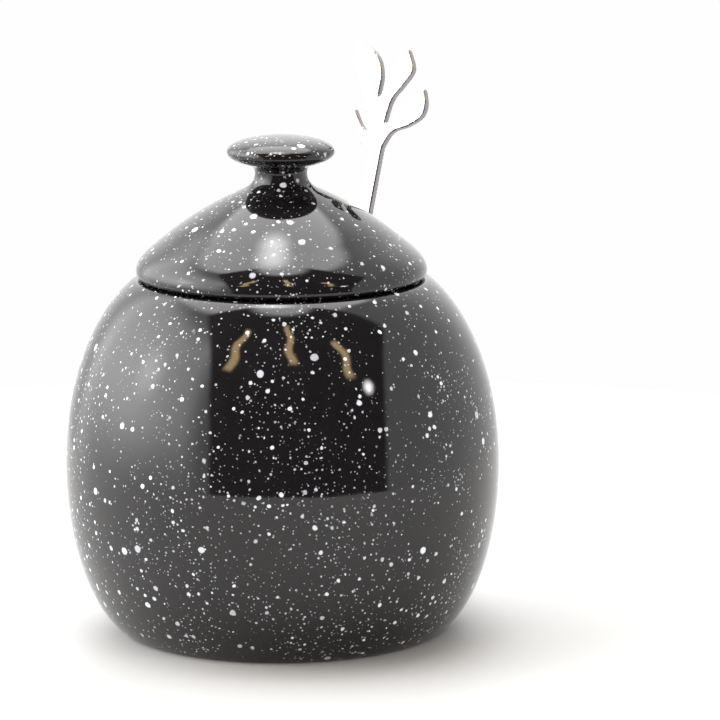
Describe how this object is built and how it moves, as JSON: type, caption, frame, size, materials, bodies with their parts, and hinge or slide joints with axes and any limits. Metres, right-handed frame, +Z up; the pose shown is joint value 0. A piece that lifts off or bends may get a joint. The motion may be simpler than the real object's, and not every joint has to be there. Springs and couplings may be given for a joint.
{
  "type": "sugar bowl",
  "caption": "Round-bellied glazed sugar bowl with a lift-off domed lid, notched at its rim for a leaf-handled metal spoon.",
  "frame": {"origin": "middle of the foot, on the surface that the bowl stands on", "axes": "+Z up along the bowl's axis, +Y towards the notch in the lid, where the spoon leans out"},
  "size_m": [0.1, 0.1, 0.1309],
  "materials": {
    "speckled_glaze": "glossy black glaze with scattered white specks",
    "bare_clay": "unglazed fired clay, matte",
    "polished_steel": "polished stainless steel"
  },
  "bodies": {
    "bowl": {"bowl_body": "speckled_glaze"},
    "lid": {"lid": "speckled_glaze"},
    "spoon": {"spoon": "polished_steel"}
  },
  "joints": [
    {"name": "lid_lift", "type": "slide", "parent": "bowl", "child": "lid", "axis": [0, 0, 1], "range_m": [0, 0.065]},
    {"name": "spoon_lift", "type": "slide", "parent": "bowl", "child": "spoon", "axis": [0, 0.3256, 0.9455], "range_m": [0, 0.035]}
  ]
}
